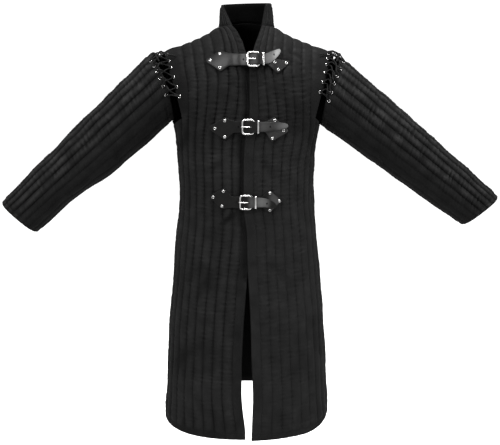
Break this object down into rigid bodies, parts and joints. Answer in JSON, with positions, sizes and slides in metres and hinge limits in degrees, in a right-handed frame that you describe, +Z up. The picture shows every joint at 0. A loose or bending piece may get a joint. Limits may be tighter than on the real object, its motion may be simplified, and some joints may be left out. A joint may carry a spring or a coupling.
{
  "type": "gambeson",
  "caption": "Long black quilted gambeson with a stand collar, buckled leather straps down the front and separate sleeves laced on at the armholes, filled out as worn.",
  "frame": {"origin": "midway between the shoulders at the base of the neck, where the wearer carries the coat", "axes": "+Z up, -Y out of the front, +X towards the wearer's left"},
  "size_m": [1.4212, 0.3794, 1.2185],
  "materials": {
    "quilted_cloth": "matte black cotton, quilted in padded channels",
    "leather": "smooth black, softly glossy",
    "buckle_metal": "nickel plated, polished",
    "rivet_metal": "nickel plated, polished",
    "eyelet_metal": "nickel plated",
    "lace": "black round cotton lace"
  },
  "bodies": {
    "root": {"back": "quilted_cloth", "buckle_1": "buckle_metal", "buckle_2": "buckle_metal", "buckle_3": "buckle_metal", "collar": "quilted_cloth", "eyelet_body_left_1": "eyelet_metal", "eyelet_body_left_2": "eyelet_metal", "eyelet_body_left_3": "eyelet_metal", "eyelet_body_left_4": "eyelet_metal", "eyelet_body_right_1": "eyelet_metal", "eyelet_body_right_2": "eyelet_metal", "eyelet_body_right_3": "eyelet_metal", "eyelet_body_right_4": "eyelet_metal", "eyelet_sleeve_left_1": "eyelet_metal", "eyelet_sleeve_left_2": "eyelet_metal", "eyelet_sleeve_left_3": "eyelet_metal", "eyelet_sleeve_left_4": "eyelet_metal", "eyelet_sleeve_right_1": "eyelet_metal", "eyelet_sleeve_right_2": "eyelet_metal", "eyelet_sleeve_right_3": "eyelet_metal", "eyelet_sleeve_right_4": "eyelet_metal", "front_left": "quilted_cloth", "front_right": "quilted_cloth", "keeper_1": "buckle_metal", "keeper_2": "buckle_metal", "keeper_3": "buckle_metal", "lace_left_back": "lace", "lace_left_front": "lace", "lace_right_back": "lace", "lace_right_front": "lace", "prong_1": "buckle_metal", "prong_2": "buckle_metal", "prong_3": "buckle_metal", "rivet_1_1": "rivet_metal", "rivet_1_2": "rivet_metal", "rivet_1_3": "rivet_metal", "rivet_1_4": "rivet_metal", "rivet_1_5": "rivet_metal", "rivet_1_6": "rivet_metal", "rivet_2_1": "rivet_metal", "rivet_2_2": "rivet_metal", "rivet_2_3": "rivet_metal", "rivet_2_4": "rivet_metal", "rivet_2_5": "rivet_metal", "rivet_2_6": "rivet_metal", "rivet_3_1": "rivet_metal", "rivet_3_2": "rivet_metal", "rivet_3_3": "rivet_metal", "rivet_3_4": "rivet_metal", "rivet_3_5": "rivet_metal", "rivet_3_6": "rivet_metal", "sleeve_left": "quilted_cloth", "sleeve_right": "quilted_cloth", "strap_1": "leather", "strap_2": "leather", "strap_3": "leather", "strap_base_1": "leather", "strap_base_2": "leather", "strap_base_3": "leather"}
  },
  "joints": []
}
